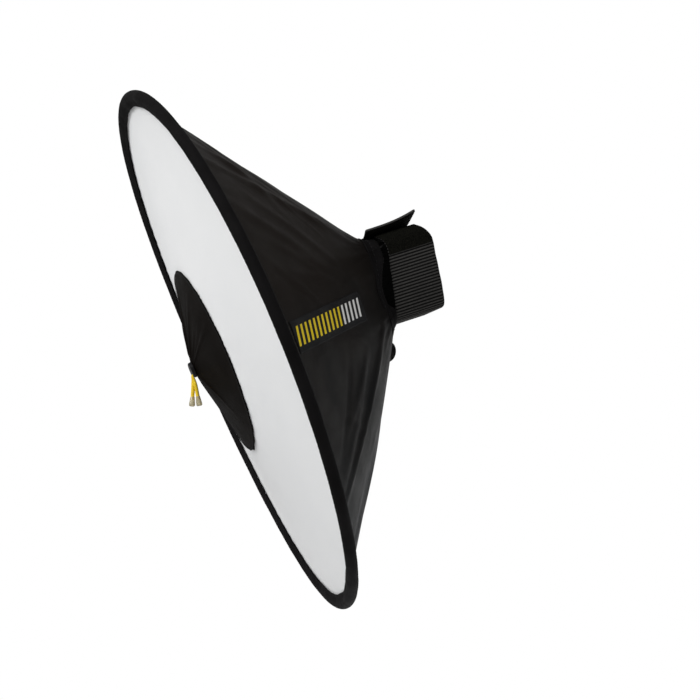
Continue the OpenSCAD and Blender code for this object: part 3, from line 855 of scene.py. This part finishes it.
def cone_skins():
    """Black skin and silver lining of the cone. Returns the skin as a tree for the label."""
    origin, _, rim, a = cone_lines()
    v = np.linspace(0, 1, SHELL_ROWS)
    base = origin[:, None] + (rim - origin)[:, None] * v[None, :, None]
    out = grid_normals(base)
    pts = base + out * cone_relief(base, a, v)[..., None]
    around = np.linspace(0, 2 * math.pi * 0.13, len(a) + 1)
    uv = np.stack(np.meshgrid(around, v * 0.2, indexing="ij"), -1)
    shell = make("cone_cloth", pts, closed_u=True, uv=uv)
    faces = [tuple(f.vertices) for f in shell.data.polygons]
    tree = BVHTree.FromPolygons([tuple(p) for p in pts.reshape(-1, 3)], faces)
    dress(thicken(shell, 0.6 * MM, 0.0), SATIN, "collar", "cone_shell")
    inside = out * 3.1 * MM
    inner = pts - inside
    inner[:, :10] = pts[:, 3:13] - inside[:, 3:13]
    lining = make("cone_silver", inner[:, 2:-2], closed_u=True, uv=uv[:, 2:-2])
    dress(thicken(lining, 0.5 * MM, 0.0), SILVER, "collar", "cone_lining")
    squash_cone(shell)
    squash_cone(lining)
    return tree


def label(tree):
    """Woven label sewn flat on the side of the cone, following its surface."""
    centre, (long, high, out), (length, height, _) = label_place()
    nu, nv = 140, 26
    s = np.linspace(-0.5, 0.5, nu)[:, None] * length
    t = np.linspace(-0.5, 0.5, nv)[None] * height
    flat = centre + s[..., None] * long + t[..., None] * high
    depth = np.zeros((nu, nv))
    for i in range(nu):
        for j in range(nv):
            hit = tree.ray_cast(Vector(flat[i, j] + out * 0.02), Vector(-out), 0.05)[0]
            depth[i, j] = 0 if hit is None else np.dot(np.array(hit) - flat[i, j], out)
    smooth = depth
    kernel = np.ones(7) / 7
    for _ in range(2):
        smooth = np.apply_along_axis(
            lambda line: np.convolve(np.pad(line, 3, "edge"), kernel, "valid"), 0, smooth)
    pts = flat + (np.maximum(depth, smooth) + 0.75 * MM)[..., None] * out
    uv = np.stack(np.broadcast_arrays(s + length / 2, t + height / 2), -1)
    obj = make("woven_label", pts, uv=uv)
    face(obj, out)
    dress(thicken(obj, 0.6 * MM), label_weave("label_weave", length, height), "collar", "label_patch")
    squash_cone(obj)
    points, directions = [], []
    for row in (pts[1:-2, 1], pts[1:-2, -2], pts[2, 1:-1], pts[-3, 1:-1]):
        total = lengths(row)[-1]
        count = max(3, int(total / (2.3 * MM)))
        spots = spots_on(row, (np.arange(count) + 0.5) * total / count)
        points.append(spots)
        directions.append(np.gradient(spots, axis=0))
    points, directions = np.concatenate(points), np.concatenate(directions)
    normals = np.tile(out, (len(points), 1))
    sewn = stitches("label_stitches", points, directions, normals, 1.6 * MM, 0.16 * MM, 0.2 * MM)
    dress(sewn, BLACK_THREAD, "collar", slot="label_weave")
    squash_cone(sewn)


def struts():
    """The four spring rods keep their CAD shape."""
    for place in ("upper_left", "upper_right", "lower_left", "lower_right"):
        source = frame["nodes"]["strut_" + place]
        rod = link("rod_" + place, source.data.copy())
        rod.matrix_world = source.matrix_world
        dress(rod, STEEL, "collar", "strut_" + place)
        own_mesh(rod)


# ---- collar

def cuff():
    """Folded tape at the mouth: it hugs the end of the cone, turns over and lines the opening.
    Its top and bottom reach back to the strap and its sides are scooped."""
    mx, mz = mouth_outline()
    n = len(mx)
    path = np.stack([mx, mz], -1)
    tangent = unit(np.roll(path, -1, 0) - np.roll(path, 1, 0))
    normal = np.stack([tangent[:, 1], np.zeros(n), -tangent[:, 0]], -1)
    step = lengths(path)
    around = step / step[-1] * 2 * math.pi
    origin, run, _, a = cone_lines()
    edge = cuff_end(mz) + 0.6 * MM * waves(around, 8, 61, 3, 14) - CUFF_ROLL
    rise = ramp(np.abs(mz - MOUTH_Z) / (MOUTH_H / 2)) ** 4
    corner = bell(np.abs(mx) - MOUTH_W / 2 + 6 * MM, 9 * MM) * (rise > 0.3)
    slack = 0.8 * MM * corner + 0.45 * MM * waves(around, 6, 62, 4, 18)
    gather = CUFF_GATHER * ramp((-mz - 24 * MM) / (8 * MM))
    outer, inner = 0.75 * MM, -1.95 * MM

    def at(y, over):
        ahead = np.clip(origin[:, 1] - y, 0, None)
        over = over - 1.3 * MM * ramp(np.sin(a)) * ramp(ahead / (4 * MM))
        pts = origin + run * ahead[:, None] + normal * over[:, None]
        pts[:, 1] = y
        pts[:, 2] += gather * ramp((y - SHELL_BACK) / (5 * MM))
        return pts

    rows = []
    for share in np.linspace(0, 1, 11):
        y = (origin[:, 1] - 4.2 * MM) * (1 - share) + edge * share
        rows.append(at(y, outer + slack * math.sin(math.pi * (0.25 + 0.75 * share))))
    for turn in np.linspace(0, math.pi, 9)[1:]:
        over = outer - (1 - math.cos(turn)) * (outer - inner) / 2
        rows.append(at(edge + CUFF_ROLL * math.sin(turn), np.full(n, over)))
    for share in np.linspace(0, 1, 7)[1:]:
        row = at(np.maximum(edge, origin[:, 1]), np.full(n, inner))
        row[:, 1] = edge * (1 - share) - 9 * MM * share
        rows.append(row)
    pts = np.stack(rows, 1)
    obj = thicken(make("cuff", pts, closed_u=True), 0.7 * MM)
    obj.data.flip_normals()
    dress(obj, TAPE_CLOTH, "collar", "collar_binding", "collar_sleeve")
    count = int(step[-1] / (3.2 * MM))
    pick = np.interp(np.linspace(0, step[-1], count, endpoint=False), step, np.arange(n)).astype(int)
    spots = pts[pick, 5]
    heading = pts[(pick + 2) % n, 5] - spots
    sewn = stitches("cuff_stitches", spots, heading, normal[pick], 2.3 * MM)
    dress(sewn, BLACK_THREAD, "collar", slot="binding_tape")


def hardware():
    """Moulded and metal pieces that keep their CAD shape."""
    for node, material in (("collar_frame", FRAME_PLASTIC), ("strut_sockets", FRAME_PLASTIC),
                           ("strut_hub", FRAME_PLASTIC), ("frame_rivets", PLATED), ("nose_eyelet", BLACKED),
                           ("cord_pin", PLATED), ("nose_cap", CAP_PLASTIC), ("cord_ends", CLEAR),
                           ("grip_pads", RUBBER)):
        obj = frame["nodes"][node]
        obj.data.materials.clear()
        obj.data.materials.append(material)


# ---- strap

def band_outline(grow):
    """Closed outline of the strap at a distance outside its inner face, with its arc length."""
    w, _, h = (BAND_HIGH - BAND_LOW) / 2 + grow
    corner = BAND_CORNER + grow
    pts = []
    for q in range(4):
        sx, sz = 1 if q in (0, 3) else -1, 1 if q in (0, 1) else -1
        centre = np.array([sx * (w - corner), sz * (h - corner)])
        for turn in np.linspace(0, 90, 60):
            t = math.radians(90 * q + turn)
            pts.append(centre + corner * np.array([math.cos(t), math.sin(t)]))
    pts = np.array(pts + pts[:1])
    total = lengths(pts)[-1]
    where = np.linspace(0, total, int(total / (0.3 * MM)), endpoint=False)
    line = spots_on(pts, where)
    tangent = unit(np.roll(line, -1, 0) - np.roll(line, 1, 0))
    normal = np.stack([tangent[:, 1], -tangent[:, 0]], -1)
    return line + np.array([0, BAND_Z]), normal, where, total


def rib_height(where):
    return RIB_DEPTH * np.abs(np.sin(math.pi * where / RIB_PITCH)) ** 0.7


def band_edges(x, z):
    """Front and rear edge of the strap at a point of its outline: it leans, its front bulges
    towards the collar above and below, and its rear corner is drawn in over the top."""
    high = z - BAND_Z
    front = BAND_LOW[1] + FRONT_SHIFT + FRONT_LEAN * high
    back = BAND_HIGH[1] + BACK_SHIFT + BACK_LEAN * high
    top = ramp((high - 20 * MM) / (15 * MM))
    front = front - 7 * MM * top ** 2 - 2 * MM * ramp((-high - 28 * MM) / (8 * MM))
    return front, back - 9.5 * MM * top ** 1.6


def strap_section(name, node, grow, keep, thickness, material, inset=0.0):
    """Part of the strap: the columns of the outline that keep() accepts, leaning like the band."""
    line, normal, where, total = band_outline(grow)
    mask = keep(line)
    closed = bool(mask.all())
    start = 0 if closed else int(np.argmax(mask & ~np.roll(mask, 1)))
    index = np.roll(np.arange(len(line)), -start)[np.roll(mask, -start)]
    line, normal, where = line[index], normal[index], where[index]
    where = where * (round(total / RIB_PITCH) * RIB_PITCH / total)
    lift = rib_height(where) if material is ELASTIC else 0.12 * MM * waves(where * 40, 5, 71, 3, 9)
    front, back = band_edges(line[:, 0], line[:, 1])
    front = front + inset
    width = (back - inset - front)[:, None]
    across = np.linspace(0, 1, 40)
    wobble = 0.25 * MM * waves(where / total * 2 * math.pi, 6, 72, 4, 20)
    edge = np.minimum(across, 1 - across)[None] * width
    full = ramp(edge / (1.2 * MM)) ** 0.5
    height = (lift[:, None] - 0.15 * MM) * full - 0.3 * MM * (1 - full)
    out = line[:, None] + normal[:, None] * height[..., None]
    y = front[:, None] + width * across[None] + wobble[:, None]
    pts = np.stack([out[..., 0], y, out[..., 1]], -1)
    reach = np.concatenate([where, where[-1:] + 0.3 * MM])
    uv = np.stack(np.meshgrid(reach, across * 40 * MM, indexing="ij"), -1)
    obj = make(name, pts, closed_u=closed, uv=uv)
    middle = obj.data.polygons[len(obj.data.polygons) // 2]
    place, facing = middle.center, middle.normal
    if place.x * facing.x + (place.z - BAND_Z) * facing.z < 0:
        obj.data.flip_normals()
    dress(thicken(obj, thickness), material, "collar", node)


def strap():
    """Ribbed band, its fixed tail on the far side and the loop patch on the near shoulder."""
    strap_section("strap_elastic", "strap_band", 0.0, lambda p: np.ones(len(p), bool), 1.7 * MM, ELASTIC)
    strap_section("strap_end", "strap_tail", 1.9 * MM,
                  lambda p: (p[:, 0] < -17.7 * MM) & (p[:, 1] > 3.8 * MM), 1.4 * MM, ELASTIC, 0.4 * MM)
    strap_section("strap_loops", "strap_loop_patch", 0.9 * MM,
                  lambda p: (p[:, 0] > 14 * MM) & (p[:, 1] > PATCH_END), 0.6 * MM, PILE, 0.6 * MM)


def flap():
    """Free end of the strap: it lies on the strap from its fold and then bends up."""
    root = pivot("flap_peel")
    low, high = box("strap_flap")
    thick = 1.7 * MM
    length = high[0] - root[0]
    top = high[2] - 0.9 * MM - root[2]
    y0, width = low[1], high[1] - low[1]
    along, across = np.linspace(0, 1, 170), np.linspace(0, 1, 44)
    s, t = np.meshgrid(along, across, indexing="ij")
    start = FLAP_FLAT - 3 * MM
    bend = ramp((s * length - start) / (length - start)) ** 1.25
    warp = (4.6 * t ** 3 - 2.3) * MM * ramp(s * 1.6 - 0.6)
    rib = 0.5 * MM * np.abs(np.sin(math.pi * s * length / RIB_PITCH)) ** 0.7
    x = root[0] + s * length
    y = y0 + width * t + bend * MM * (3.6 * t - 2 + 1.2 * ramp(t * 4 - 3))
    z = root[2] + top * bend + warp
    edge = ramp(np.minimum(t, 1 - t) * width / (1.0 * MM)) ** 0.5
    pts = np.stack([x, y, z + thick / 2 + (rib - 0.1 * MM) * edge - 0.25 * MM * (1 - edge)], -1)
    obj = make("strap_free_end", pts, uv=np.stack([s * length, t * width], -1))
    face(obj, (0, 0, 1))
    dress(thicken(obj, thick), ELASTIC, "flap", "strap_flap")
    line = np.stack([np.full(30, root[0]), np.linspace(y0, high[1], 30), np.full(30, root[2])], -1)
    dress(tube("strap_fold", line, 1.15 * MM, 16), ELASTIC, "flap")
    margin = 1.5 * MM
    pick = (along * length > FLAP_FLAT + margin) & (along * length < length - margin)
    part = np.ix_(pick, (across > 0.05) & (across < 0.95))
    under = pts[part] - np.array([0, 0, thick + 0.3 * MM])
    under[..., 2] -= rib[part]
    hooks = make("strap_hooks", under)
    face(hooks, (0, 0, -1))
    dress(thicken(hooks, 0.5 * MM), PILE, "flap", "flap_hook_patch")


def tabs():
    """Cloth tabs above and below, with a soft hem at their rear ends."""
    low, high = box("strap_tabs")
    xx, yy = np.meshgrid(np.linspace(low[0], high[0], 90), np.linspace(low[1], high[1], 50), indexing="ij")
    wave = 0.12 * MM * waves(xx * 60, 5, 81, 2, 8) * np.cos(yy * 90)
    hem = 0.14 * MM * ((yy - low[1]) > (high[1] - low[1]) * 0.9)
    for name, z, sign in (("tab_upper", high[2], 1), ("tab_lower", low[2], -1)):
        pts = np.stack([xx, yy, z - sign * 0.15 * MM + sign * (wave * 0.6 + hem * 0.3)], -1)
        obj = make(name, pts)
        face(obj, (0, 0, sign))
        dress(thicken(obj, 0.8 * MM), TAPE_CLOTH, "collar", *(["strap_tabs"] if sign > 0 else []))


def webbing_loop():
    """Loop of webbing under the collar, standing on a sewn strip."""
    co = points_of("rear_loop")
    low, high = co.min(0), co.max(0)
    flat = co[:, 1:]
    centre = flat.mean(0)
    along = np.linalg.svd(flat - centre, full_matrices=False)[2][0]
    along = along if along[0] < 0 else -along
    out = np.array([-along[1], along[0]])
    out = out if out[1] < 0 else -out
    reach, lift = (flat - centre) @ along, (flat - centre) @ out
    foot = lift.min()
    middle = (reach.min() + reach.max()) / 2
    radius = lift.max() - foot - 0.6 * MM
    lip = np.linspace(0.72, 1, 10) * (radius + 3 * MM)
    strip = [(-f, 0.4 * MM) for f in lip[::-1]]
    for t in np.linspace(math.pi, 0, 60):
        squeeze = 0.82 + 0.18 * math.sin(t)
        strip.append((radius * math.cos(t) * squeeze, 0.5 * MM + radius * 0.98 * math.sin(t) ** 0.9))
    strip = np.array(strip + [(f, 0.4 * MM) for f in lip])
    line = centre + (middle + strip[:, :1]) * along + (foot + strip[:, 1:]) * out
    width = np.linspace(low[0], high[0], 26)
    skew = 0.6 * MM * np.sin(np.linspace(0, math.pi, len(line)))
    pts = np.stack(np.broadcast_arrays(width[None] + skew[:, None], line[:, :1], line[:, 1:]), -1)
    dress(thicken(make("webbing_loop", pts), 1.1 * MM, 0.0), WEBBING, "collar", "rear_loop")


# ---- pull cord

def two_centres(points):
    """Centres of two separate lumps of points that stand side by side."""
    a, b = points[points[:, 0].argmin()], points[points[:, 0].argmax()]
    for _ in range(12):
        near = np.linalg.norm(points - a, axis=1) < np.linalg.norm(points - b, axis=1)
        a, b = points[near].mean(0), points[~near].mean(0)
    return a, b


def cord():
    """Braided cord: an eye over the pin and two strands that hang from it."""
    pin = pivot("cord_swing")
    left, right = two_centres(points_of("cord_ends"))
    cord_strand("cord_strand_a", pin, left, -1, "pull_cord")
    cord_strand("cord_strand_b", pin, right, 1)


def cord_strand(name, pin, end, side, *nodes):
    start = pin + np.array([side * 1.05 * MM, 0, 0])
    down = unit(end - start)
    reach = np.linalg.norm(end - start) - 1.2 * MM
    forward = np.cross(down, ACROSS)
    eye = np.array([start - 1.3 * MM * (math.cos(t) * forward + math.sin(t) * down)
                    for t in np.linspace(-0.4, math.pi + 0.4, 26)])
    tail = [start + down * d + forward * (1.2 * MM * math.exp(-d / (4 * MM)))
            for d in np.linspace(2.6 * MM, reach, 120)]
    if np.linalg.norm(eye[-1] - tail[0]) > np.linalg.norm(eye[0] - tail[0]):
        eye = eye[::-1]
    path = np.concatenate([eye, tail])
    where = np.linspace(0, lengths(path)[-1], 340)
    sides = 20
    angle = 2 * circle(sides)[None]
    d = where[:, None]
    turn = d * 2600
    braid = np.abs(np.sin(angle + turn)) * 0.5 + np.abs(np.sin(angle - turn)) * 0.5
    full = ramp(d / (11 * MM))
    radius = (0.5 + 0.85 * full) * MM + (0.1 + 0.12 * full) * MM * braid
    reference = ACROSS + np.array([0.01, 0.02, 0.03])
    dress(tube(name, spots_on(path, where), radius, sides, reference=reference), CORD, "cord", *nodes)


# ---- studio

SOFT_LIGHT = 0.36
TARGET = Vector((0, -0.08, -0.02))

# Camera: how it is rolled and yawed against the dish, where it sees the rim's centre, and its lens.
CAMERA_ROLL = math.radians(23.20)
CAMERA_YAW = math.radians(12.11)
RIM_SEEN = np.array([-92.68, -1.62, -1450]) * MM
CAMERA_LENS = 91.94


def studio():
    """Pale floor and a white surround that also gives soft light."""
    bpy.ops.mesh.primitive_plane_add(size=3.4, location=(0, 0, float(CAD_LOW[2]) - 0.75))
    floor = bpy.context.object
    floor.name = "floor"
    n = Nodes("floor_paper")
    n.set(Base_Color=n.blotches(2.0, (0.9, 0.9, 0.9), (0.93, 0.93, 0.93)), Roughness=0.9)
    floor.data.materials.append(n.material)
    world = bpy.data.worlds.new("surround")
    bpy.context.scene.world = world
    world.use_nodes = True
    tree = world.node_tree
    tree.nodes.clear()
    out = tree.nodes.new("ShaderNodeOutputWorld")
    mixer = tree.nodes.new("ShaderNodeMixShader")
    path = tree.nodes.new("ShaderNodeLightPath")
    tree.links.new(path.outputs["Is Camera Ray"], mixer.inputs[0])
    for socket, strength in ((1, SOFT_LIGHT), (2, 1.0)):
        light = tree.nodes.new("ShaderNodeBackground")
        light.inputs[0].default_value = (1, 1, 1, 1)
        light.inputs[1].default_value = strength
        tree.links.new(light.outputs[0], mixer.inputs[socket])
    tree.links.new(mixer.outputs[0], out.inputs[0])


def lamp(name, position, size, power):
    """Square-edged soft lamp that points at the dish and that the camera doesn't see."""
    data = bpy.data.lights.new(name, "AREA")
    data.shape = "RECTANGLE"
    data.size, data.size_y = size
    data.energy = power
    obj = add(name, data)
    obj.visible_camera = False
    obj.location = position
    obj.rotation_euler = (TARGET - position).to_track_quat("-Z", "Y").to_euler()


def camera_axes():
    """Directions of the camera in the row frame: right, up and towards the viewer."""
    level = np.array([-math.cos(CAMERA_ROLL), -math.sin(CAMERA_ROLL), 0])
    forward = level * math.cos(CAMERA_YAW) + np.array([0, 0, math.sin(CAMERA_YAW)])
    up = np.array([level[1], -level[0], 0])
    side = np.cross(forward, up)
    side = side if side[2] > 0 else -side
    ahead = math.cos(DROOP) * forward + math.sin(DROOP) * up
    above = math.cos(DROOP) * up - math.sin(DROOP) * forward
    return np.stack([side, -ahead, above], 1)


def camera(axes):
    """Long lens, set back so that the rim's centre is seen where it should be."""
    data = bpy.data.cameras.new("camera")
    data.sensor_width = 36
    data.lens = CAMERA_LENS
    data.clip_end = 100
    cam = add("camera", data)
    turn = Matrix([list(row) for row in axes.T])
    cam.matrix_world = Matrix.Translation(Vector(RIM - axes.T @ RIM_SEEN)) @ turn.to_4x4()
    bpy.context.scene.camera = cam


def lamps(axes):
    """Key and fill placed from the camera (right, up, back), and a faint lamp behind."""
    def from_camera(*place):
        return TARGET + Vector(axes.T @ np.array(place))
    lamp("key", from_camera(-1.6, 1.6, 1.2), (1.8, 1.8), 66)
    lamp("fill", from_camera(1.8, 0.4, 1.4), (1.4, 1.8), 10)
    lamp("back", Vector((-2.2, 1.2, -0.4)), (1.6, 1.6), 3)


spring_hoop()
rim_binding()
front_cloth()
nose_cloth()
reflector()
label(cone_skins())
struts()
cuff()
hardware()
strap()
flap()
tabs()
webbing_loop()
cord()
studio()
VIEW = camera_axes()
camera(VIEW)
lamps(VIEW)
bpy.context.scene.view_settings.view_transform = "Standard"
